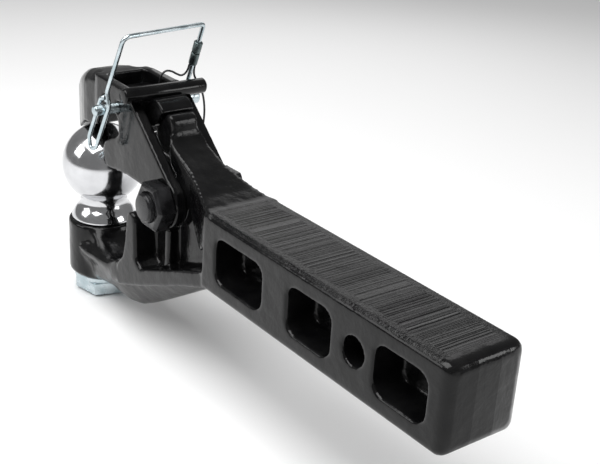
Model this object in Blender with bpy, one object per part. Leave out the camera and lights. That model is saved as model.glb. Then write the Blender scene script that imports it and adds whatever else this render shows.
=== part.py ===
"""Receiver hitch with a tow ball and a latching upper jaw.

Frame: metres. The origin is the centre of the shank's free end face, +X points out of that
end, +Z is up and the ball stands at -X. The hitch is symmetric about the XZ plane apart
from its nut, pin head, bail and lanyard.
"""
import math

import bmesh
import bpy
from mathutils import Matrix, Vector

MM = 0.001
GAP = 0.3  # mm left between pieces that touch

# ---- driving dimensions, in millimetres
SHANK_HALF = 25.4          # 2 in square receiver shank
SHANK_LEN = 206.0
HITCH_HOLE_R = 8.3         # takes a 5/8 in hitch pin
HITCH_HOLE_X = -68.0
POCKETS = [(-196.0, -149.0), (-125.0, -87.0), (-52.0, -14.0)]
POCKET_HALF = 14.0
POCKET_FLOOR = 6.0         # half thickness of the web left between the pockets
BALL_R = 29.37             # 2-5/16 in ball
BALL_X = -383.4
BALL_Z = -4.8
RING_R = 25.8
RING_TOP = -46.0
RING_BOTTOM = -88.0
STEM_R = 15.8              # 1-1/4 in ball stem
PIVOT = (-260.0, 11.6)     # jaw pivot in the XZ plane
PIVOT_R = 9.5              # 3/4 in bolt
CHEEK_IN, CHEEK_OUT = 14.6, 22.5
WEB_HALF = 8.0
LATCH_PIVOT = (-339.5, 58.0)
PIN = (-320.5, 57.3)       # safety pin in the XZ plane
PIN_R = 3.5
PIN_TIP_Y, PIN_HEAD_Y = -39.0, 23.2
ROD = (-298.5, 71.6)       # cross handle of the latch
ROD_R, ROD_HALF = 5.0, 30.0
BAIL_LEAN = 29.6           # degrees rearward of the plane the bail turns in
BAIL_NEAR, BAIL_FAR = -32.4, 33.4
WIRE_R = 1.45
LIFT_PER_OPEN = 0.5

for old in list(bpy.data.objects):
    bpy.data.objects.remove(old, do_unlink=True)


def material(name, colour, metallic, roughness):
    m = bpy.data.materials.new(name)
    m.use_nodes = True
    shader = m.node_tree.nodes["Principled BSDF"]
    shader.inputs["Base Color"].default_value = (*colour, 1)
    shader.inputs["Metallic"].default_value = metallic
    shader.inputs["Roughness"].default_value = roughness
    return m


def mesh_object(name, bm, mat=None):
    bmesh.ops.remove_doubles(bm, verts=bm.verts, dist=1e-7)
    bmesh.ops.recalc_face_normals(bm, faces=bm.faces)
    data = bpy.data.meshes.new(name)
    bm.to_mesh(data)
    bm.free()
    ob = bpy.data.objects.new(name, data)
    bpy.context.scene.collection.objects.link(ob)
    if mat:
        data.materials.append(mat)
    return ob


def prism(name, outline, y0, y1, mat=None):
    """A closed XZ outline in mm drawn out along Y."""
    bm = bmesh.new()
    a = [bm.verts.new((x * MM, y0 * MM, z * MM)) for x, z in outline]
    b = [bm.verts.new((x * MM, y1 * MM, z * MM)) for x, z in outline]
    bm.faces.new(a)
    bm.faces.new(list(reversed(b)))
    n = len(outline)
    for i in range(n):
        bm.faces.new((a[i], b[i], b[(i + 1) % n], a[(i + 1) % n]))
    return mesh_object(name, bm, mat)


def loft(name, rings, mat=None):
    """Closed rings of points in mm joined one to the next and capped."""
    bm = bmesh.new()
    rows = [[bm.verts.new([c * MM for c in p]) for p in ring] for ring in rings]
    n = len(rows[0])
    for a, b in zip(rows, rows[1:]):
        for i in range(n):
            bm.faces.new((a[i], a[(i + 1) % n], b[(i + 1) % n], b[i]))
    bm.faces.new(list(reversed(rows[0])))
    bm.faces.new(rows[-1])
    return mesh_object(name, bm, mat)


def lathe(name, profile, centre, axis, count, mat=None, turn=0.0):
    """(radius, height) pairs in mm turned about an axis; the first and last lie on it or are capped."""
    bm = bmesh.new()
    frame = Vector((0, 0, 1)).rotation_difference(Vector(axis)).to_matrix()
    rows = []
    for r, h in profile:
        row = []
        if r < 1e-6:
            row.append(bm.verts.new((frame @ Vector((0, 0, h)) + Vector(centre)) * MM))
        else:
            for i in range(count):
                t = 2 * math.pi * i / count + turn
                p = frame @ Vector((r * math.cos(t), r * math.sin(t), h)) + Vector(centre)
                row.append(bm.verts.new(p * MM))
        rows.append(row)
    for a, b in zip(rows, rows[1:]):
        for i in range(count):
            j = (i + 1) % count
            if len(a) == 1:
                bm.faces.new((a[0], b[j], b[i]))
            elif len(b) == 1:
                bm.faces.new((a[i], a[j], b[0]))
            else:
                bm.faces.new((a[i], a[j], b[j], b[i]))
    for row, flip in ((rows[0], True), (rows[-1], False)):
        if len(row) > 1:
            bm.faces.new(list(reversed(row)) if flip else row)
    return mesh_object(name, bm, mat)


def ring_solid(name, profile, centre, axis, count, mat=None, turn=0.0):
    """A closed (radius, height) loop in mm turned about an axis: a washer, nut or sleeve."""
    bm = bmesh.new()
    frame = Vector((0, 0, 1)).rotation_difference(Vector(axis)).to_matrix()
    rows = []
    for r, h in profile:
        row = []
        for i in range(count):
            t = 2 * math.pi * i / count + turn
            p = frame @ Vector((r * math.cos(t), r * math.sin(t), h)) + Vector(centre)
            row.append(bm.verts.new(p * MM))
        rows.append(row)
    for a, b in zip(rows, rows[1:] + rows[:1]):
        for i in range(count):
            j = (i + 1) % count
            bm.faces.new((a[i], a[j], b[j], b[i]))
    return mesh_object(name, bm, mat)


def sweep(name, points, radius, sides, closed=False, mat=None):
    """A round wire of one radius in mm along points."""
    pts = [Vector(p) for p in points]
    n = len(pts)
    bm = bmesh.new()
    rows, normal = [], None
    for k, p in enumerate(pts):
        if closed:
            t = (pts[(k + 1) % n] - pts[k - 1]).normalized()
        else:
            t = (pts[min(k + 1, n - 1)] - pts[max(k - 1, 0)]).normalized()
        if normal is None:
            normal = t.orthogonal().normalized()
        normal = (normal - t * normal.dot(t)).normalized()
        side = t.cross(normal)
        rows.append([bm.verts.new((p + radius * (math.cos(a) * normal + math.sin(a) * side)) * MM)
                     for a in [2 * math.pi * i / sides for i in range(sides)]])
    for k in range(n if closed else n - 1):
        a, b = rows[k], rows[(k + 1) % n]
        shift = 0
        if closed and k == n - 1:
            shift = min(range(sides), key=lambda s: sum(
                (a[i].co - b[(i + s) % sides].co).length for i in range(sides)))
        for i in range(sides):
            bm.faces.new((a[i], a[(i + 1) % sides], b[(i + 1 + shift) % sides], b[(i + shift) % sides]))
    if not closed:
        bm.faces.new(list(reversed(rows[0])))
        bm.faces.new(rows[-1])
    return mesh_object(name, bm, mat)


def combine(ob, tools, operation):
    """Exact boolean of ob with each tool in turn; the tools are used up."""
    for tool in tools:
        mod = ob.modifiers.new("b", "BOOLEAN")
        mod.solver = "EXACT"
        mod.operation = operation
        mod.object = tool
        graph = bpy.context.evaluated_depsgraph_get()
        result = bpy.data.meshes.new_from_object(ob.evaluated_get(graph))
        ob.modifiers.clear()
        mats = list(ob.data.materials)
        ob.data = result
        result.materials.clear()
        for m in mats[:1]:
            result.materials.append(m)
        for poly in result.polygons:
            poly.material_index = 0
        bpy.data.objects.remove(tool, do_unlink=True)
    return ob


def tidy(ob):
    """Merge the coincident points a boolean leaves and name the mesh after its node."""
    bm = bmesh.new()
    bm.from_mesh(ob.data)
    bmesh.ops.remove_doubles(bm, verts=bm.verts, dist=2e-6)
    bmesh.ops.dissolve_degenerate(bm, dist=1e-6, edges=bm.edges)
    bmesh.ops.dissolve_limit(bm, angle_limit=0.002, verts=bm.verts, edges=bm.edges)
    bmesh.ops.triangulate(bm, faces=[f for f in bm.faces if len(f.verts) > 4])
    bm.to_mesh(ob.data)
    bm.free()
    ob.data.name = ob.name
    return ob


def rod(name, x, z, r, y0, y1, count=32, chamfer=0.0, mat=None):
    """A round bar along Y, with chamfered ends."""
    prof = [(r - chamfer, y0), (r, y0 + chamfer), (r, y1 - chamfer), (r - chamfer, y1)]
    if chamfer == 0:
        prof = [(r, y0), (r, y1)]
    return lathe(name, prof, (x, 0, z), (0, 1, 0), count, mat)


def arc(cx, cz, r, a0, a1, n):
    return [(cx + r * math.cos(math.radians(a0 + (a1 - a0) * i / n)),
             cz + r * math.sin(math.radians(a0 + (a1 - a0) * i / n))) for i in range(n + 1)]


def rounded_rect(x0, x1, z0, z1, r, n=3):
    return (arc(x1 - r, z1 - r, r, 0, 90, n) + arc(x0 + r, z1 - r, r, 90, 180, n)
            + arc(x0 + r, z0 + r, r, 180, 270, n) + arc(x1 - r, z0 + r, r, 270, 360, n))


BLACK = material("black_powder_coat", (0.02, 0.02, 0.022), 0.0, 0.3)
CHROME = material("chrome", (0.8, 0.8, 0.82), 1.0, 0.08)
ZINC = material("zinc_plate", (0.6, 0.65, 0.68), 1.0, 0.35)
BLACK_STEEL = material("black_steel", (0.03, 0.03, 0.032), 0.6, 0.4)
CABLE = material("black_cable", (0.02, 0.02, 0.02), 0.0, 0.5)

# ---- hook body: one forging of shank, arm, lug, web and ring boss
def shank_ring(x, inset):
    half = SHANK_HALF - inset
    c = 2.6
    pts = []
    for sy, sz, turn in ((1, 1, 0), (-1, 1, 1), (-1, -1, 0), (1, -1, 1)):
        a = (x, sy * half, sz * (half - c))
        b = (x, sy * (half - c), sz * half)
        pts += [a, b] if turn == 0 else [b, a]
    return pts


body = loft("hook_body", [shank_ring(-SHANK_LEN - 4, 0), shank_ring(-5, 0), shank_ring(-1.6, 1.2),
                          shank_ring(0, 5.0)], BLACK)

# back flange: full width at the shank, running in to the lug
flange_line = [(-204, 25.4, 7, 25.4), (-210.2, 25.6, 2, 23.2), (-221, 28.2, -6, 20.0), (-227, 30.3, -4, 18.0),
               (-236, 33.3, 4, 15.5), (-243.5, 36.2, 12, 13.7), (-256.5, 41.0, 24, 13.0), (-265, 44.6, 30, 12.6),
               (-269.5, 48.2, 34, 12.5), (-271.4, 52.0, 38, 12.2)]
back = loft("flange", [[(x, w, zt), (x, -w, zt), (x, -w, zb), (x, w, zb)]
                       for x, zt, zb, w in flange_line])
lug = prism("lug", [(-264, 36), (-270.8, 48), (-272.0, 58.0), (-273.2, 61.2), (-276, 62.5), (-280, 62.5),
                    (-292.5, 50), (-292.5, 44), (-284, 36)], -9.2, 9.2)
web = prism("web", [(-200, 20), (-224, 24), (-250, 35), (-264, 42), (-276, 46), (-286, 44), (-288, 30), (-286, 6),
                    (-292, -6), (-300, -20), (-300, -60), (-285, -58), (-255, -38), (-200, -16)],
            -WEB_HALF, WEB_HALF)
pivot_boss = rod("boss", PIVOT[0], PIVOT[1], 15.0, -(CHEEK_IN - GAP), CHEEK_IN - GAP, 40)

# lower rim, upright rib and the keel below them
rim = prism("rim", [(-202, 2), (-202, -21.5), (-215, -27.5), (-236, -35.5), (-259, -45.5), (-286, -57),
                    (-316, -68.5), (-330, -73), (-330, -56), (-318, -51), (-311, -44), (-307, -30),
                    (-305.5, -14), (-303.5, -9.5), (-299, -7.8), (-295, -9.5), (-293.5, -14), (-292.6, -40),
                    (-286, -44.6), (-264, -35.5), (-236, -24.4), (-214, -16.0), (-207.5, -10)],
            -SHANK_HALF + 0.6, SHANK_HALF - 0.6)
keel_line = [(-202, -14, -22, 12), (-222, -24, -34, 11), (-243, -34, -46.5, 10), (-263, -44, -58.7, 10),
             (-286, -52, -72.6, 10.5), (-300, -56, -80.5, 11.5), (-312, -58, -86.6, 13), (-327, -60, -90.0, 15),
             (-342, -60, -89.4, 17), (-355, -60, -87.8, 18), (-372, -60, -87.4, 19)]
keel = loft("keel", [[(x, w + 9, zt), (x, -w - 9, zt), (x, -w, (zt + zb) / 2 - 4), (x, -w * 0.55, zb),
                      (x, w * 0.55, zb), (x, w, (zt + zb) / 2 - 4)] for x, zt, zb, w in keel_line])
neck_line = [(-322, -50.5, -70, 24.6), (-332, -56.5, -76, 23.2), (-342, -58.5, -81, 21.6),
             (-352, -54.5, -84, 20.8), (-362, -48.5, -86, 20.0), (-372, -47.0, -86.5, 19)]
neck = loft("neck", [[(x, w, zt), (x, -w, zt), (x, -w, zb + 4), (x, -w + 4, zb), (x, w - 4, zb), (x, w, zb + 4)]
                     for x, zt, zb, w in neck_line])
ring = lathe("ring", [(RING_R - 2.4, RING_BOTTOM), (RING_R, RING_BOTTOM + 2.8), (RING_R, RING_TOP - 1.4),
                      (RING_R - 1.4, RING_TOP)], (BALL_X, 0, 0), (0, 0, 1), 56)
rib_wall = prism("rib_wall", [(-305.5, -14), (-303.5, -9.5), (-299, -7.8), (-295, -9.5), (-293.5, -14),
                              (-293.5, -50), (-305.5, -50)], -SHANK_HALF + 1.2, SHANK_HALF - 1.2)
inner_rib = prism("inner_rib", [(-263.5, -9), (-270, -10.5), (-272, -44), (-264, -44)], -16.0, 16.0)
combine(body, [back, lug, web, pivot_boss, rim, keel, neck, ring, rib_wall, inner_rib], "UNION")

cutters = [rod("pivot_hole", PIVOT[0], PIVOT[1], PIVOT_R + GAP, -40, 40, 32),
           rod("hitch_hole", HITCH_HOLE_X, 0.8, HITCH_HOLE_R, -40, 40, 32),
           lathe("stem_hole", [(STEM_R + GAP, -120), (STEM_R + GAP, -20)], (BALL_X, 0, 0), (0, 0, 1), 48)]
for x0, x1 in POCKETS:
    for side in (-1, 1):
        outer = rounded_rect(x0 - 0.6, x1 + 0.6, -POCKET_HALF - 0.6, POCKET_HALF + 0.6, 7.2)
        inner = rounded_rect(x0 + 2.2, x1 - 2.2, -POCKET_HALF + 2.2, POCKET_HALF - 2.2, 5.6)
        cutters.append(loft("pocket", [[(x, side * (SHANK_HALF + 2), z) for x, z in outer],
                                       [(x, side * POCKET_FLOOR, z) for x, z in inner]]))
combine(body, cutters, "DIFFERENCE")
tidy(body)

# ---- tow ball with its stem, lock washer and nut
def ball_profile():
    prof = [(STEM_R - 1.4, -103.2), (STEM_R, -101.8), (STEM_R, RING_TOP + GAP), (22.8, RING_TOP + GAP),
            (23.4, RING_TOP + 1.0), (23.4, RING_TOP + 2.2), (20.6, -38.8), (19.4, -37.2), (17.4, -35.0)]
    for i in range(15):
        t = math.radians(-50.5 + (50.5 + 66) * i / 14)
        if i == 0:
            t = -math.acos(16.7 / BALL_R)
        prof.append((BALL_R * math.cos(t), BALL_Z + BALL_R * math.sin(t)))
    flat = BALL_Z + BALL_R * math.sin(math.radians(72))
    prof += [(BALL_R * math.cos(math.radians(72)), flat)]
    for deg in (78, 84):
        prof.append((BALL_R * math.cos(math.radians(deg)), BALL_Z + BALL_R * math.sin(math.radians(deg))))
    prof.append((0, BALL_Z + BALL_R))
    return prof


lathe("hitch_ball", ball_profile(), (BALL_X, 0, 0), (0, 0, 1), 48, CHROME)
washer_top = RING_BOTTOM - GAP
ring_solid("ball_lock_washer", [(STEM_R + GAP, washer_top - 3.4), (22.4, washer_top - 3.4), (22.4, washer_top),
                                (STEM_R + GAP, washer_top)], (BALL_X, 0, 0), (0, 0, 1), 48, ZINC)
nut_top = washer_top - 3.4 - GAP
hexagon = 21.9
nut = lathe("ball_nut", [(19.0, nut_top - 11.6), (hexagon, nut_top - 9.9), (hexagon, nut_top - 1.4),
                         (20.2, nut_top)], (BALL_X, 0, 0), (0, 0, 1), 6, ZINC, math.radians(12))
combine(nut, [lathe("nut_bore", [(STEM_R + GAP, -130), (STEM_R + GAP, -80)], (BALL_X, 0, 0), (0, 0, 1), 48)],
        "DIFFERENCE")
tidy(nut)

# ---- upper jaw: nose over the ball, two cheeks down to the pivot bolt, open between them
side_outline = (
    [(-409, 16.2), (-413, 20.0), (-414.8, 27.0), (-414.8, 37.0), (-413.0, 43.6), (-409.0, 50.6), (-403.0, 56.8),
     (-396.0, 61.2), (-388.0, 64.6), (-377.0, 68.0), (-366.0, 70.3), (-357.0, 71.4), (-346.0, 72.0), (-312.0, 71.2),
     (-307.5, 67.6), (-305.5, 66.0), (-302.2, 66.0), (-299.6, 64.0), (-257.3, 28.6)]
    + arc(PIVOT[0], PIVOT[1], 16.0, 54, -110, 12)
    + [(-276, 2.6), (-280.5, 10.6), (-287, 14.2), (-309, 14.4), (-325, 12.6), (-337.0, 10.8), (-340.4, 12.4),
       (-342.4, 17.0), (-342.8, 23.6), (-339.6, 28.6), (-330, 33.4), (-323.4, 36.4), (-320.4, 39.6), (-320.4, 46.0),
       (-323.4, 50.6), (-329, 53.0), (-339, 52.8), (-346, 48.6), (-349.6, 42.0), (-354, 35.6), (-364, 32.8),
       (-378, 31.0), (-392, 24.0), (-402, 17.6)])
plan_outer = [(-413.8, 1.6), (-412.4, 3.4), (-408.5, 5.6), (-402, 8.0), (-395, 11.0), (-388, 13.8), (-380, 16.6),
              (-372, 17.8), (-358.5, 18.4), (-355.0, 20.0), (-350, 21.0), (-326, 21.4), (-312, 22.2), (-302, CHEEK_OUT),
              (-225, CHEEK_OUT)]
plan_inner = [(-348.5, 12.6), (-346.8, 14.2), (-343, CHEEK_IN), (-220, CHEEK_IN)]


def plan_prism(name, half, z0, z1):
    """A prism standing on Z whose plan is mirrored in the XZ plane."""
    outline = half + [(x, -y) for x, y in reversed(half)]
    return loft(name, [[(x, y, z0) for x, y in outline], [(x, y, z1) for x, y in outline]])


jaw = prism("upper_jaw", side_outline, -CHEEK_OUT - 1, CHEEK_OUT + 1, BLACK)
combine(jaw, [plan_prism("plan", plan_outer, -20, 110)], "INTERSECT")


def nose_ring(x, half, top, radius):
    """A ring across the jaw, open-bottomed in effect, with its two top corners rounded."""
    near_corner = [(-y, z) for y, z in arc(half - radius, top - radius, radius, 0, 90, 6)]
    far_corner = arc(half - radius, top - radius, radius, 90, 0, 6)
    return [(x, y, z) for y, z in [(-half, -24)] + near_corner + far_corner + [(half, -24)]]


# the nose is forged round over its top; behind it the cheeks step out with their edges left full
nose = [(-418, 1.6, 46.0, 1.4), (-413, 2.7, 44.6, 2.4), (-409, 5.4, 51.2, 4.8), (-403, 7.75, 57.2, 7.0),
        (-396, 10.7, 61.6, 9.4), (-388, 13.9, 65.0, 10.4), (-377, 17.3, 68.4, 10.4), (-366, 18.3, 70.7, 9.6),
        (-356.1, 18.7, 71.8, 8.6), (-355.9, 30.0, 95.0, 8.6), (-200, 30.0, 95.0, 8.6)]
combine(jaw, [loft("nose_round", [nose_ring(*row) for row in nose])], "INTERSECT")
socket = []
for i in range(17):
    t = math.radians(-90 + 180 * i / 16)
    socket.append((31.2 * math.cos(t) if 0 < i < 16 else 0, BALL_Z + 31.2 * math.sin(t)))
jaw_cutters = [
    lathe("socket", socket, (BALL_X, 0, 0), (0, 0, 1), 48),
    plan_prism("window", plan_inner, -30, 120),
    rod("jaw_pivot_hole", PIVOT[0], PIVOT[1], PIVOT_R + GAP, -40, 40, 32),
    rod("jaw_pin_hole", PIN[0], PIN[1], PIN_R + GAP, -40, 40, 24),
    rod("latch_pin_hole", LATCH_PIVOT[0], LATCH_PIVOT[1], 3.0 + GAP, -40, 40, 24),
]
combine(jaw, jaw_cutters, "DIFFERENCE")
tidy(jaw)

# ---- pivot bolt with its nut
bolt = lathe("pivot_bolt", [(8.2, -38.0), (PIVOT_R, -36.7), (PIVOT_R, 26.0)], (PIVOT[0], 0, PIVOT[1]), (0, 1, 0),
             36, BLACK_STEEL)
head = lathe("head", [(16.3, CHEEK_OUT + GAP), (16.3, 29.6), (14.2, 31.0)], (PIVOT[0], 0, PIVOT[1]), (0, 1, 0), 6)
combine(bolt, [head], "UNION")
tidy(bolt)
pivot_nut = lathe("pivot_nut", [(14.2, -34.4), (16.3, -32.8), (16.3, -CHEEK_OUT - GAP)], (PIVOT[0], 0, PIVOT[1]), (0, 1, 0), 6,
                  BLACK_STEEL)
combine(pivot_nut, [rod("nut_bore", PIVOT[0], PIVOT[1], PIVOT_R + GAP, -60, 0, 36)], "DIFFERENCE")
tidy(pivot_nut)

# ---- latch: pawl on a cross pin in the jaw, its end stops against the lug
latch_outline = (
    arc(LATCH_PIVOT[0], LATCH_PIVOT[1], 7.0, 250, 100, 7)
    + [(-332, 66.2), (-316, 66.8), (-309, 67.8), (-305.8, 69.8), (-291.2, 69.8), (-288.0, 69.2),
       (-284.4, 67.6), (-281.6, 65.4), (-280.4, 63.4), (-293.0, 50.8), (-300, 48.6), (-306, 44.6),
       (-312, 40.0), (-319, 37.6), (-327, 38.8), (-336, 45.0)])
latch = prism("latch", latch_outline, -11.4, 11.4, BLACK)
slot = []
reach = math.hypot(PIN[0] - LATCH_PIVOT[0], PIN[1] - LATCH_PIVOT[1])
start = math.degrees(math.atan2(PIN[1] - LATCH_PIVOT[1], PIN[0] - LATCH_PIVOT[0]))
sweep_deg = 29.0
slot_r = PIN_R + 0.5
slot += arc(LATCH_PIVOT[0], LATCH_PIVOT[1], reach + slot_r, start - sweep_deg, start, 8)
cx = LATCH_PIVOT[0] + reach * math.cos(math.radians(start))
cz = LATCH_PIVOT[1] + reach * math.sin(math.radians(start))
slot += arc(cx, cz, slot_r, start, start + 180, 8)[1:-1]
slot += arc(LATCH_PIVOT[0], LATCH_PIVOT[1], reach - slot_r, start, start - sweep_deg, 8)
cx = LATCH_PIVOT[0] + reach * math.cos(math.radians(start - sweep_deg))
cz = LATCH_PIVOT[1] + reach * math.sin(math.radians(start - sweep_deg))
slot += arc(cx, cz, slot_r, start - sweep_deg + 180, start - sweep_deg + 360, 8)[1:-1]
combine(latch, [prism("pin_slot", slot, -20, 20),
                rod("latch_bore", LATCH_PIVOT[0], LATCH_PIVOT[1], 3.0 + GAP, -20, 20, 24),
                rod("rod_bore", ROD[0], ROD[1], ROD_R + GAP, -20, 20, 32)], "DIFFERENCE")
tidy(latch)
rod("latch_handle", ROD[0], ROD[1], ROD_R, -ROD_HALF, ROD_HALF, 32, 1.0, BLACK)
rod("latch_pin", LATCH_PIVOT[0], LATCH_PIVOT[1], 3.0, -20.6, 20.6, 24, 0.4, BLACK_STEEL)

# ---- safety pin, bail and lanyard
pin = lathe("safety_pin", [(PIN_R - 1.0, PIN_TIP_Y), (PIN_R, PIN_TIP_Y + 1.0), (PIN_R, PIN_HEAD_Y), (4.4, PIN_HEAD_Y),
                           (5.0, PIN_HEAD_Y + 0.6), (5.0, 37.6), (4.4, 38.4)], (PIN[0], 0, PIN[1]), (0, 1, 0), 32,
            ZINC)
up = Vector((math.sin(math.radians(BAIL_LEAN)), 0, math.cos(math.radians(BAIL_LEAN))))
across = Vector((up.z, 0, -up.x))       # square to the bail's plane, towards +X
home = Vector((PIN[0], 0, PIN[1]))


def at(y, u, v=0.0):
    """A point in the bail's plane: y across, u up the legs, v out of the plane."""
    return tuple(home + Vector((0, y, 0)) + up * u + across * v)


def fillet(points, radius, n=5, tight=0):
    """Points with each inner corner turned into an arc of that radius, or as much as fits.

    The first tight corners are bent to 2.4 mm."""
    pts = [Vector(p) for p in points]
    out = [pts[0]]
    for k, (a, b, c) in enumerate(zip(pts, pts[1:], pts[2:])):
        u, v = (a - b), (c - b)
        angle = u.angle(v)
        cut = min((2.4 if k < tight else radius) / math.tan(angle / 2), 0.48 * u.length, 0.48 * v.length)
        r = cut * math.tan(angle / 2)
        u.normalize()
        v.normalize()
        centre = b + (u + v).normalized() * (r / math.sin(angle / 2))
        s, e = b + u * cut - centre, b + v * cut - centre
        swing = s.angle(e)
        for i in range(n + 1):
            k = i / n
            out.append(centre + (math.sin((1 - k) * swing) * s + math.sin(k * swing) * e) / math.sin(swing))
    out.append(pts[-1])
    return [tuple(p) for p in out]


near, far = BAIL_NEAR, BAIL_FAR
eye, offset = 5.35, -8.0
leg_top = (53.5, -13.1)    # u and v of the far leg's top corner
bail_path = fillet([
    at(far, 0, 3.4), at(far, 0, offset), at(far, 7.0, offset), at(far, *leg_top),
    at(near, 61.3, -1.4), at(near, 15.0, -1.2), at(near, 8.4, eye), at(near, -30.0, eye), at(near, -38.5, 0),
    at(near, -30.0, -eye), at(near, 5.4, -eye), at(near, 8.6, -2.2)], 4.2, 4, 3)
sweep("bail", bail_path, WIRE_R, 10, False, ZINC)
bail_hole = sweep("bail_hole", [at(far, 0, 3.9), at(far, 0, -9.0)], WIRE_R + GAP, 16)
combine(pin, [bail_hole], "DIFFERENCE")
tidy(pin)

# two crimp sleeves stand on the bail's far leg; the cable hangs from the lower one in a loop
# round the jaw's far rail, by way of the opening in the cheek and the window
leg_foot = Vector(at(far, 7.0, offset))
leg_dir = (Vector(at(far, *leg_top)) - leg_foot).normalized()


def on_leg(s, out=0.0, side=0.0):
    """A point s mm up the far leg from its foot, out in +Y and side across the leg."""
    return tuple(leg_foot + leg_dir * s + Vector((0, out, 0)) + leg_dir.cross(Vector((0, 1, 0))) * side)


for name, s0, s1 in (("upper_sleeve", 24.4, 32.4), ("lower_sleeve", 14.6, 23.8)):
    r = 3.0
    ring_solid(name, [(WIRE_R + GAP, s0), (r - 0.4, s0), (r, s0 + 0.4), (r, s1 - 0.4), (r - 0.4, s1),
                      (WIRE_R + GAP, s1)], leg_foot, tuple(leg_dir), 20, BLACK_STEEL)
cable_r = 0.7
route = [on_leg(14.2, 2.4), on_leg(9.8, 2.5), (-320.2, 36.2, 71.6), (-316.8, 37.2, 67.0), (-312.2, 37.6, 62.0),
         (-308.6, 37.0, 55.6), (-306.2, 35.8, 48.0), (-305.6, 34.2, 40.0), (-308.0, 32.4, 32.0), (-313.8, 31.0, 26.8),
         (-321.0, 29.8, 26.6), (-326.8, 27.8, 31.0), (-330.6, 24.4, 36.8), (-333.4, 19.6, 42.2), (-334.4, 15.0, 47.4),
         (-332.8, 13.1, 53.6), (-329.8, 13.0, 60.4), (-326.8, 13.0, 67.2), (-325.2, 13.3, 72.8), (-324.4, 16.4, 76.0),
         (-323.8, 20.4, 75.6), (-323.0, 24.0, 73.6), (-322.2, 26.6, 72.5), (-321.8, 28.7, 72.9), (-321.2, 30.15, 74.3),
         on_leg(10.0, -2.65), on_leg(12.0, -2.45), on_leg(14.2, -2.4)]


def smooth_curve(points, per):
    """An open Catmull-Rom curve through the points."""
    pts = [Vector(p) for p in points]
    pts = [2 * pts[0] - pts[1]] + pts + [2 * pts[-1] - pts[-2]]
    out = []
    for a, b, c, d in zip(pts, pts[1:], pts[2:], pts[3:]):
        for i in range(per):
            t = i / per
            out.append(0.5 * (2 * b + (c - a) * t + (2 * a - 5 * b + 4 * c - d) * t * t
                              + (3 * b - a - 3 * c + d) * t * t * t))
    return out + [pts[-2]]


sweep("lanyard", smooth_curve(route, 3), cable_r, 8, False, CABLE)
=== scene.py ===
# %% [markdown]
# # A receiver hitch with a tow ball and a latching jaw
#
# The real thing is a heavy forging that slides into a tow bar, painted with a thick gloss black
# powder coat. A chrome ball stands in its ring, and a hinged jaw shuts down over the ball. This
# lesson builds the finish on top of them: softened forged edges, ground marks, bright zinc wire
# and a coated cable tether.

# %% Load the fixed frame
import math

import bmesh
import bpy
from mathutils import Matrix, Vector


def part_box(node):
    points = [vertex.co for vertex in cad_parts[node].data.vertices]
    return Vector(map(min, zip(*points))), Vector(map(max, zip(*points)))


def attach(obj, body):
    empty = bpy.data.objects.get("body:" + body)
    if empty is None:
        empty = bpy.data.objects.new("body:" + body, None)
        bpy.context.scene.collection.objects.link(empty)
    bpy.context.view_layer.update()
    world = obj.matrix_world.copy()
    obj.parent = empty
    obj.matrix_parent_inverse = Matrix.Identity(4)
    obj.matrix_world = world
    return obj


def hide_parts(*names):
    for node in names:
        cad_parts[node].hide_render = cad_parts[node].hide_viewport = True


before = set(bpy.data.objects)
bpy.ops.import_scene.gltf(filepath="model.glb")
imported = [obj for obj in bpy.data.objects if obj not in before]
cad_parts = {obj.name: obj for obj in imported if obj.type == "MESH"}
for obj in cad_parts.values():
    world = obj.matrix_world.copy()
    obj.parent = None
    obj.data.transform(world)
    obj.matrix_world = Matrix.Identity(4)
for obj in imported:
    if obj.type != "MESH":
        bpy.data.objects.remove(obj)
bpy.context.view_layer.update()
MM = 0.001
WELD_DISTANCE = 1e-6

# %% [markdown]
# ## The camera
#
# The hitch is looked at from the free end of its shank, from above and from its near side. A camera
# is an object whose -Z looks forward, so its matrix holds three directions (right, up and back) and
# a place. Writing those directly is surer than stacking three rotations.

# %% Place the camera
camera_data = bpy.data.cameras.new("product_camera")
camera = bpy.data.objects.new("product_camera", camera_data)
bpy.context.scene.collection.objects.link(camera)
right = Vector((0.5978, 0.7997, 0.0564))
up = Vector((-0.3523, 0.1989, 0.9145))
back = Vector((0.7201, -0.5665, 0.4006))
place = Vector((0.29772, -0.35134, 0.27873))
camera.matrix_world = Matrix([
    (right.x, up.x, back.x, place.x),
    (right.y, up.y, back.y, place.y),
    (right.z, up.z, back.z, place.z),
    (0, 0, 0, 1)])
camera_data.sensor_width = 36
camera_data.lens = 66.59
camera_data.clip_start = 0.01
bpy.context.scene.camera = camera
print("camera at", tuple(round(v, 3) for v in place), "lens", camera_data.lens)

# %% [markdown]
# ## The tether's route
#
# The tether is a thin coated cable. It leaves the crimp sleeve on the bail's far leg, hangs outside
# the jaw's far cheek, comes in through the opening in that cheek, and climbs back out of the window
# to the sleeve. A cable is a fixed length of something flexible, so it is made first, as one smooth
# curve through a few points.

# %% Directions that the bail's leg gives
PIN_X, PIN_Z = -320.5, 57.3
BAIL_FAR = 33.4
BAIL_LEAN = 29.6
lean = math.radians(BAIL_LEAN)
leg_up = Vector((math.sin(lean), 0, math.cos(lean)))
leg_across = Vector((leg_up.z, 0, -leg_up.x))
pin_centre = Vector((PIN_X, 0, PIN_Z))


def at(y, u, v=0.0):
    """A point in millimetres: y across the hitch, u up the bail, v square to it."""
    return pin_centre + Vector((0, y, 0)) + leg_up * u + leg_across * v


leg_foot, leg_head = at(BAIL_FAR, 7.0, -8.0), at(BAIL_FAR, 53.5, -13.1)
leg_dir = (leg_head - leg_foot).normalized()
leg_side = leg_dir.cross(Vector((0, 1, 0)))


def on_leg(s, out=0.0, side=0.0):
    """A point s mm up the bail's far leg."""
    return leg_foot + leg_dir * s + Vector((0, out, 0)) + leg_side * side


print("the far leg is", round((leg_head - leg_foot).length, 1), "mm long")

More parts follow.
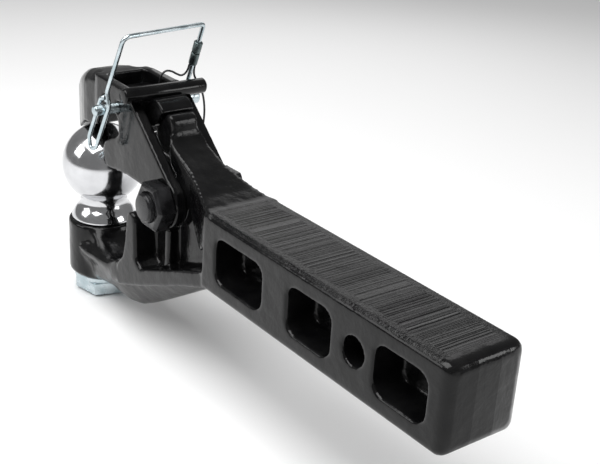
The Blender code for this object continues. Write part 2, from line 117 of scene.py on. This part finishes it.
# %% Sample a smooth curve
def smooth_curve(points, per):
    """An open Catmull-Rom curve through the points."""
    pts = [Vector(p) for p in points]
    pts = [2 * pts[0] - pts[1]] + pts + [2 * pts[-1] - pts[-2]]
    out = []
    for a, b, c, d in zip(pts, pts[1:], pts[2:], pts[3:]):
        for i in range(per):
            t = i / per
            out.append(0.5 * (2 * b + (c - a) * t + (2 * a - 5 * b + 4 * c - d) * t * t
                              + (3 * b - a - 3 * c + d) * t ** 3))
    return out + [pts[-2]]


def wire_tube(name, points, radius, sides=4):
    """A round wire along points in mm: one open poly spline, turned into a mesh tube."""
    curve = bpy.data.curves.new(name, "CURVE")
    curve.dimensions = "3D"
    curve.bevel_depth = radius * MM
    curve.bevel_resolution = sides
    curve.use_fill_caps = True
    spline = curve.splines.new("POLY")
    spline.points.add(len(points) - 1)
    for spot, p in zip(spline.points, points):
        spot.co = (p[0] * MM, p[1] * MM, p[2] * MM, 1)
    guide = bpy.data.objects.new(name + "_guide", curve)
    bpy.context.scene.collection.objects.link(guide)
    mesh = bpy.data.meshes.new_from_object(guide.evaluated_get(bpy.context.evaluated_depsgraph_get()))
    bpy.data.objects.remove(guide)
    bm = bmesh.new()
    bm.from_mesh(mesh)
    bmesh.ops.remove_doubles(bm, verts=bm.verts, dist=WELD_DISTANCE)
    bmesh.ops.recalc_face_normals(bm, faces=bm.faces)
    bm.to_mesh(mesh)
    bm.free()
    for p in mesh.polygons:
        p.use_smooth = True
    ob = bpy.data.objects.new(name, mesh)
    bpy.context.scene.collection.objects.link(ob)
    return ob


# %% Lay the tether
TETHER_RADIUS = 0.7
tether_route = [
    on_leg(14.2, 2.4), on_leg(9.8, 2.5), (-320.2, 36.2, 71.6), (-316.8, 37.2, 67.0), (-312.2, 37.6, 62.0),
    (-308.6, 37.0, 55.6), (-306.2, 35.8, 48.0), (-305.6, 34.2, 40.0), (-308.0, 32.4, 32.0), (-313.8, 31.0, 26.8),
    (-321.0, 29.8, 26.6), (-326.8, 27.8, 31.0), (-330.6, 24.4, 36.8), (-333.4, 19.6, 42.2), (-334.4, 15.0, 47.4),
    (-332.8, 13.1, 53.6), (-329.8, 13.0, 60.4), (-326.8, 13.0, 67.2), (-325.2, 13.3, 72.8), (-324.4, 16.4, 76.0),
    (-323.8, 20.4, 75.6), (-323.0, 24.0, 73.6), (-322.2, 26.6, 72.5), (-321.8, 28.7, 72.9), (-321.2, 30.15, 74.3),
    on_leg(10.0, -2.65), on_leg(12.0, -2.45), on_leg(14.2, -2.4)]
tether_points = smooth_curve(tether_route, 6)
tether = wire_tube("tether_cable", tether_points, TETHER_RADIUS)
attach(tether, "bail")
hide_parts("lanyard")

# %% [markdown]
# ## Shader node groups
#
# Several finishes need the same two things: a fine uneven skin, and long lines left by a grinder or
# a die. Each is a node group with named inputs, built once. Both read Object coordinates, which are
# metres here, so a scale of 400 means a feature about every 2.5 mm.

# %% A helper for building groups
def new_group(name, inputs, outputs):
    """A shader group with float inputs {name: default} and float outputs."""
    group = bpy.data.node_groups.new(name, "ShaderNodeTree")
    for label, value in inputs.items():
        socket = group.interface.new_socket(label, in_out="INPUT", socket_type="NodeSocketFloat")
        socket.default_value = value
    for label in outputs:
        group.interface.new_socket(label, in_out="OUTPUT", socket_type="NodeSocketFloat")
    return group, group.nodes.new("NodeGroupInput"), group.nodes.new("NodeGroupOutput")


def math_node(tree, operation, a, b=None, clamp=False):
    """A Math node whose inputs are sockets or numbers."""
    node = tree.nodes.new("ShaderNodeMath")
    node.operation, node.use_clamp = operation, clamp
    for i, value in enumerate((a, b)):
        if value is None:
            continue
        if isinstance(value, (int, float)):
            node.inputs[i].default_value = value
        else:
            tree.links.new(value, node.inputs[i])
    return node.outputs[0]


# %% Group: uneven skin
skin_group, g_in, g_out = new_group("uneven_skin", {"Fine Scale": 900.0, "Coarse Scale": 90.0, "Coarse Share": 0.4},
                                    ["Height", "Mask"])
coords = skin_group.nodes.new("ShaderNodeTexCoord")
noises = []
for label, detail in (("Fine Scale", 3.0), ("Coarse Scale", 4.0)):
    noise = skin_group.nodes.new("ShaderNodeTexNoise")
    noise.inputs["Detail"].default_value = detail
    skin_group.links.new(coords.outputs["Object"], noise.inputs["Vector"])
    skin_group.links.new(g_in.outputs[label], noise.inputs["Scale"])
    noises.append(noise.outputs["Fac"])
share = g_in.outputs["Coarse Share"]
rest_share = math_node(skin_group, "SUBTRACT", 1.0, share)
height = math_node(skin_group, "ADD", math_node(skin_group, "MULTIPLY", noises[0], rest_share),
                   math_node(skin_group, "MULTIPLY", noises[1], share))
skin_group.links.new(height, g_out.inputs["Height"])
skin_group.links.new(noises[1], g_out.inputs["Mask"])
print("group", skin_group.name, "ready")

# %% Group: machined lines across X
line_group, g_in, g_out = new_group("ground_lines", {"Lines per Metre": 330.0, "Wobble": 0.35}, ["Height"])
coords = line_group.nodes.new("ShaderNodeTexCoord")
split = line_group.nodes.new("ShaderNodeSeparateXYZ")
line_group.links.new(coords.outputs["Object"], split.inputs[0])
wander = line_group.nodes.new("ShaderNodeTexNoise")
wander.inputs["Scale"].default_value = 60.0
wander.inputs["Detail"].default_value = 3.0
line_group.links.new(coords.outputs["Object"], wander.inputs["Vector"])
straight = math_node(line_group, "MULTIPLY", split.outputs["X"], g_in.outputs["Lines per Metre"])
sway = math_node(line_group, "MULTIPLY", wander.outputs["Fac"], g_in.outputs["Wobble"])
along = math_node(line_group, "ADD", straight, sway)
stretched = line_group.nodes.new("ShaderNodeTexNoise")
stretched.noise_dimensions = "1D"
stretched.inputs["Scale"].default_value = 1.0
stretched.inputs["Detail"].default_value = 2.0
line_group.links.new(along, stretched.inputs["W"])
line_group.links.new(stretched.outputs["Fac"], g_out.inputs["Height"])
print("group", line_group.name, "ready")

# %% [markdown]
# ## Finishes
#
# Powder coat on a forging is a thick, slightly dimpled plastic skin: nearly black, glossy, with the
# forging's lumps showing through as wandering highlights. Chrome and zinc are metals: their colour
# is in the reflection, so Metallic is 1 and the character comes from the roughness.

# %% A helper that starts a material
NOISE_LOW, NOISE_HIGH = 0.35, 0.65


def start_material(name, colour, metallic, roughness):
    m = bpy.data.materials.new(name)
    m.use_nodes = True
    shader = m.node_tree.nodes["Principled BSDF"]
    shader.inputs["Base Color"].default_value = (*colour, 1)
    shader.inputs["Metallic"].default_value = metallic
    shader.inputs["Roughness"].default_value = roughness
    return m, m.node_tree, shader


def use_group(tree, group, **values):
    node = tree.nodes.new("ShaderNodeGroup")
    node.node_tree = group
    for label, value in values.items():
        node.inputs[label.replace("_", " ")].default_value = value
    return node


def spread(tree, fac, low, high):
    """Maps the part of 0-1 that a noise really fills to low-high, so the whole range is used."""
    node = tree.nodes.new("ShaderNodeMapRange")
    node.inputs["From Min"].default_value, node.inputs["From Max"].default_value = NOISE_LOW, NOISE_HIGH
    node.inputs["To Min"].default_value, node.inputs["To Max"].default_value = low, high
    tree.links.new(fac, node.inputs["Value"])
    return node.outputs["Result"]


def bump(tree, height, distance, strength=1.0, normal=None):
    node = tree.nodes.new("ShaderNodeBump")
    node.inputs["Distance"].default_value = distance
    node.inputs["Strength"].default_value = strength
    tree.links.new(height, node.inputs["Height"])
    if normal is not None:
        tree.links.new(normal, node.inputs["Normal"])
    return node.outputs["Normal"]


def tint(tree, fac, dark, light):
    """A colour ramp between two colours."""
    ramp = tree.nodes.new("ShaderNodeValToRGB")
    first, last = ramp.color_ramp.elements
    first.position, last.position = NOISE_LOW, NOISE_HIGH
    first.color, last.color = (*dark, 1), (*light, 1)
    tree.links.new(fac, ramp.inputs["Fac"])
    return ramp.outputs["Color"]


# %% Gloss black powder coat
COAT_DARK = (0.0025, 0.0025, 0.0028)
COAT_LIGHT = (0.006, 0.006, 0.0062)


def powder_coat(name, lump, dimple, rough_low, rough_high):
    """Near-black gloss: lumps from the forging and, over them, the coat's own fine dimples."""
    m, tree, shader = start_material(name, COAT_DARK, 0.0, 0.25)
    skin = use_group(tree, skin_group, Fine_Scale=700.0, Coarse_Scale=75.0, Coarse_Share=0.55)
    tree.links.new(tint(tree, skin.outputs["Mask"], COAT_DARK, COAT_LIGHT), shader.inputs["Base Color"])
    tree.links.new(spread(tree, skin.outputs["Mask"], rough_low, rough_high), shader.inputs["Roughness"])
    normal = bump(tree, skin.outputs["Mask"], lump)
    normal = bump(tree, skin.outputs["Height"], dimple, 1.0, normal)
    tree.links.new(normal, shader.inputs["Normal"])
    shader.inputs["Specular IOR Level"].default_value = 0.26
    return m, tree, shader, normal


jaw_coat = powder_coat("jaw_powder_coat", 0.0005, 0.00009, 0.1, 0.2)[0]
bar_coat = powder_coat("handle_powder_coat", 0.0002, 0.00005, 0.08, 0.15)[0]
print("powder coats ready")

# %% [markdown]
# The shank's top was ground after forging, and the coat follows the grinder's lines. A mask made of
# Object coordinates keeps the lines to that strip: the top face, about 17 mm to each side of the
# middle with a ragged edge, between the root of the arm and the rounded end. What is left of the top
# on each side of the strip is rougher. These places are in metres, as Object coordinates are.

# %% Powder coat of the hook, with its ground strip
STRIP_HALF, STRIP_RAGGED = 0.0205, 0.006
TOP_ABOVE, ARM_ROOT, END_ROUND = 0.0240, -0.2065, -0.009
hook_coat, tree, shader, normal = powder_coat("hook_powder_coat", 0.0006, 0.0001, 0.1, 0.22)
coords = tree.nodes.new("ShaderNodeTexCoord")
split = tree.nodes.new("ShaderNodeSeparateXYZ")
tree.links.new(coords.outputs["Object"], split.inputs[0])
edge_noise = tree.nodes.new("ShaderNodeTexNoise")
edge_noise.inputs["Scale"].default_value = 140.0
tree.links.new(coords.outputs["Object"], edge_noise.inputs["Vector"])
ragged = math_node(tree, "MULTIPLY", edge_noise.outputs["Fac"], STRIP_RAGGED)
across = math_node(tree, "ABSOLUTE", split.outputs["Y"])
inside = math_node(tree, "LESS_THAN", math_node(tree, "ADD", across, ragged), STRIP_HALF)
on_top = math_node(tree, "GREATER_THAN", split.outputs["Z"], TOP_ABOVE)
before_arm = math_node(tree, "MULTIPLY", math_node(tree, "GREATER_THAN", split.outputs["X"], ARM_ROOT),
                       math_node(tree, "LESS_THAN", split.outputs["X"], END_ROUND))
flat_top = math_node(tree, "MULTIPLY", on_top, before_arm)
strip = math_node(tree, "MULTIPLY", inside, flat_top)
band = math_node(tree, "MULTIPLY", math_node(tree, "SUBTRACT", 1.0, inside), flat_top)
lines = use_group(tree, line_group, Lines_per_Metre=620.0, Wobble=0.5)
grit = use_group(tree, skin_group, Fine_Scale=1100.0, Coarse_Scale=420.0, Coarse_Share=0.6)
cut = math_node(tree, "ADD", math_node(tree, "MULTIPLY", lines.outputs["Height"], strip),
                math_node(tree, "MULTIPLY", grit.outputs["Height"], band))
marked = bump(tree, cut, 0.0007, 1.0, normal)
print("ground strip and rough bands ready")

# %% [markdown]
# The free end of the shank was trimmed of its flash, the thin fin squeezed out where the two dies
# meet. Trimming leaves a flat band down the middle, and the faces on each side of it lean back a
# little. A height that falls off outside the band tilts the shading by the right few degrees.

# %% The trimmed end face
END_BEFORE, BAND_NEAR, BAND_FAR, END_SLOPE = -0.0022, -0.0065, 0.0085, -0.11
on_end = math_node(tree, "GREATER_THAN", split.outputs["X"], END_BEFORE)
near_lean = math_node(tree, "MAXIMUM", math_node(tree, "SUBTRACT", BAND_NEAR, split.outputs["Y"]), 0.0)
far_lean = math_node(tree, "MAXIMUM", math_node(tree, "SUBTRACT", split.outputs["Y"], BAND_FAR), 0.0)
fall = math_node(tree, "MULTIPLY", math_node(tree, "ADD", near_lean, far_lean), END_SLOPE)
facets = math_node(tree, "MULTIPLY", fall, on_end)
tree.links.new(bump(tree, facets, 1.0, 1.0, marked), shader.inputs["Normal"])
print("hook coat ready")

# %% Chrome, zinc and dark steel
def metal(name, dark, light, rough_low, rough_high, fine, lump, metallic=1.0):
    m, tree, shader = start_material(name, light, metallic, rough_low)
    skin = use_group(tree, skin_group, Fine_Scale=fine, Coarse_Scale=120.0, Coarse_Share=0.4)
    tree.links.new(tint(tree, skin.outputs["Mask"], dark, light), shader.inputs["Base Color"])
    tree.links.new(spread(tree, skin.outputs["Mask"], rough_low, rough_high), shader.inputs["Roughness"])
    tree.links.new(bump(tree, skin.outputs["Height"], lump), shader.inputs["Normal"])
    return m


chrome = metal("ball_chrome", (0.6, 0.605, 0.62), (0.68, 0.685, 0.7), 0.09, 0.16, 500.0, 0.00001)
zinc = metal("zinc_plate", (0.42, 0.5, 0.53), (0.62, 0.69, 0.72), 0.2, 0.34, 1500.0, 0.00004)
bolt_steel = metal("bolt_black", (0.012, 0.012, 0.013), (0.03, 0.03, 0.032), 0.22, 0.34, 900.0, 0.00005, 0.5)
sleeve_metal = metal("sleeve_dark", (0.05, 0.065, 0.068), (0.16, 0.2, 0.2), 0.28, 0.45, 1600.0, 0.00008, 0.9)
print("metals ready")

# %% Coated cable
cable_coat, tree, shader = start_material("cable_coat", (0.012, 0.012, 0.013), 0.0, 0.42)
skin = use_group(tree, skin_group, Fine_Scale=2600.0, Coarse_Scale=500.0, Coarse_Share=0.3)
cable_tint = tint(tree, skin.outputs["Mask"], (0.008, 0.008, 0.009), (0.03, 0.03, 0.032))
tree.links.new(cable_tint, shader.inputs["Base Color"])
tree.links.new(bump(tree, skin.outputs["Height"], 0.00012), shader.inputs["Normal"])
tether.data.materials.append(cable_coat)
print("cable ready")

# %% [markdown]
# ## From solids to forgings
#
# The measured solids are exact and sharp. A forging has no sharp edge: metal fills a die, so every
# edge carries a radius of a millimetre or two, and flat faces are very slightly crowned. A copy of
# the solid is welded, rebuilt on a fine grid and relaxed a little, which rounds each edge by about
# the grid's size and leaves the shape and the position alone.

# %% Copy a solid as one welded mesh
def solid_copy(node, name):
    """A merged mesh copy of a CAD node, at the origin."""
    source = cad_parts[node]
    bm = bmesh.new()
    bm.from_mesh(source.data)
    bm.transform(source.matrix_world)
    bmesh.ops.remove_doubles(bm, verts=bm.verts, dist=WELD_DISTANCE)
    bmesh.ops.recalc_face_normals(bm, faces=bm.faces)
    mesh = bpy.data.meshes.new(name)
    bm.to_mesh(mesh)
    bm.free()
    ob = bpy.data.objects.new(name, mesh)
    bpy.context.scene.collection.objects.link(ob)
    return ob


# %% [markdown]
# ## The hook body, softened
#
# The hook is one forging, so its copy becomes one skin. Voxel Remesh lays an even grid over it, and
# Smooth relaxes the grid so that each edge becomes a small round. The grid is 1.25 mm, a little less
# than the radius that the real edges carry, and the mesh stays under 200,000 triangles.

# %% Remesh and relax a copy
def soften(ob, voxel, rounds, factor=0.5):
    """Rebuilds a closed mesh on a voxel grid (mm) and relaxes it."""
    remesh = ob.modifiers.new("even_grid", "REMESH")
    remesh.mode, remesh.voxel_size, remesh.use_smooth_shade = "VOXEL", voxel * MM, True
    relax = ob.modifiers.new("relax", "SMOOTH")
    relax.factor, relax.iterations = factor, rounds
    dg = bpy.context.evaluated_depsgraph_get()
    mesh = bpy.data.meshes.new_from_object(ob.evaluated_get(dg))
    ob.modifiers.clear()
    old, ob.data = ob.data, mesh
    bpy.data.meshes.remove(old)
    for p in mesh.polygons:
        p.use_smooth = True
    return ob


def triangles(ob):
    ob.data.calc_loop_triangles()
    return len(ob.data.loop_triangles)


def relax_region(ob, low, high, rounds):
    """Relaxes the part of a mesh inside a box given in mm, so flat facets flow into each other."""
    bm = bmesh.new()
    bm.from_mesh(ob.data)
    inside = [v for v in bm.verts if all(low[k] * MM < v.co[k] < high[k] * MM for k in range(3))]
    for _ in range(rounds):
        bmesh.ops.smooth_vert(bm, verts=inside, factor=0.5, use_axis_x=True, use_axis_y=True, use_axis_z=True)
    bm.to_mesh(ob.data)
    bm.free()
    return len(inside)


HOOK_GRID, HOOK_ROUNDS = 1.25, 5
NECK_LOW, NECK_HIGH, NECK_ROUNDS = (-371, -30, -86), (-318, 30, -47), 45
hook = soften(solid_copy("hook_body", "forged_hook"), HOOK_GRID, HOOK_ROUNDS)
print("neck points relaxed:", relax_region(hook, NECK_LOW, NECK_HIGH, NECK_ROUNDS))
hook.data.materials.append(hook_coat)
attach(hook, "hook")
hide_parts("hook_body")
print("forged hook:", triangles(hook), "triangles")

# %% [markdown]
# ## The jaw, the latch and its handle
#
# The jaw and the latch are smaller forgings. Their edges are as round, but their walls are thinner,
# so the grid is finer. The handle is a turned bar pressed through the latch, so it keeps its own
# crisp chamfers.

# %% Soften the jaw and the latch
JAW_GRID, JAW_ROUNDS = 0.95, 6
LATCH_GRID, LATCH_ROUNDS = 0.7, 5
jaw = soften(solid_copy("upper_jaw", "forged_jaw"), JAW_GRID, JAW_ROUNDS)
jaw.data.materials.append(jaw_coat)
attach(jaw, "jaw")
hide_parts("upper_jaw")
latch = soften(solid_copy("latch", "forged_latch"), LATCH_GRID, LATCH_ROUNDS)
latch.data.materials.append(jaw_coat)
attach(latch, "latch")
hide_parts("latch")
print("jaw", triangles(jaw), "latch", triangles(latch), "triangles")

# %% [markdown]
# ## Turned and bought-in parts
#
# The ball, nuts, bolt, pin and wire are already the right shape. Their solids stay, with their loose
# triangles welded by a modifier and a narrow bevel to catch the light, because a bought-in part has
# small crisp chamfers and not a forging's soft rounds.

# %% Finish the carried-over solids
def finish_solid(node, material, bevel, angle=35.0, segments=2):
    """Welds, bevels and shades a CAD node with modifiers, and gives it a material."""
    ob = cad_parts[node]
    weld = ob.modifiers.new("weld", "WELD")
    weld.merge_threshold = WELD_DISTANCE
    if bevel:
        edge = ob.modifiers.new("edge", "BEVEL")
        edge.width, edge.segments, edge.limit_method = bevel * MM, segments, "ANGLE"
        edge.angle_limit = math.radians(angle)
        edge.harden_normals = True
    for p in ob.data.polygons:
        p.use_smooth = True
    if not ob.material_slots:
        ob.data.materials.append(material)
    for s in ob.material_slots:
        s.material = material
    return ob


for node, material, bevel in (
        ("hitch_ball", chrome, 0.0), ("ball_lock_washer", zinc, 0.3), ("ball_nut", zinc, 0.5),
        ("pivot_bolt", bolt_steel, 0.5), ("pivot_nut", bolt_steel, 0.5), ("latch_pin", zinc, 0.2),
        ("latch_handle", bar_coat, 0.3), ("safety_pin", zinc, 0.2), ("bail", zinc, 0.0),
        ("upper_sleeve", sleeve_metal, 0.25), ("lower_sleeve", sleeve_metal, 0.25)):
    finish_solid(node, material, bevel)
print("carried-over solids finished")

# %% [markdown]
# ## Floor and light
#
# A pale floor, and broad soft lights. Gloss black shows nothing but reflections, so each panel is
# placed by what it is mirrored in. The overhead one lights the floor, the far one lies where the flat
# top of the shank mirrors it, and the last two reach the near side and the free end.

# %% Floor
FLOOR_HALF, FLOOR_GAP = 3.0, 0.0005
floor_bm = bmesh.new()
bmesh.ops.create_grid(floor_bm, x_segments=2, y_segments=2, size=FLOOR_HALF)
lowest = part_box("ball_nut")[0].z
bmesh.ops.translate(floor_bm, verts=floor_bm.verts, vec=(0, 0, lowest - FLOOR_GAP))
floor_mesh = bpy.data.meshes.new("floor")
floor_bm.to_mesh(floor_mesh)
floor_bm.free()
floor = bpy.data.objects.new("floor", floor_mesh)
bpy.context.scene.collection.objects.link(floor)
floor_paint = start_material("floor_white", (0.93, 0.93, 0.93), 0.0, 0.95)[0]
floor.data.materials.append(floor_paint)
print("floor at", round(lowest, 4))

# %% Lights
def panel(name, place, target, size, watts):
    light = bpy.data.lights.new(name, "AREA")
    light.shape, light.size, light.energy = "SQUARE", size, watts
    ob = bpy.data.objects.new(name, light)
    bpy.context.scene.collection.objects.link(ob)
    ob.location = place
    ob.rotation_euler = (Vector(target) - Vector(place)).to_track_quat("-Z", "Y").to_euler()
    return ob


middle = (-0.2, 0, 0)
panel("overhead", (-0.3, -0.45, 1.25), middle, 1.2, 24)
panel("far_back", (-0.95, 0.68, 0.5), middle, 0.6, 1.1)
panel("near_side", (-0.75, -0.85, 0.5), middle, 0.45, 2)
panel("end_side", (0.7, 0.75, 0.3), middle, 0.45, 3)
world = bpy.data.worlds.new("studio")
world.use_nodes = True
world.node_tree.nodes["Background"].inputs["Color"].default_value = (1, 1, 1, 1)
world.node_tree.nodes["Background"].inputs["Strength"].default_value = 0.24
bpy.context.scene.world = world
bpy.context.scene.view_settings.view_transform = "Standard"
print("lights placed")
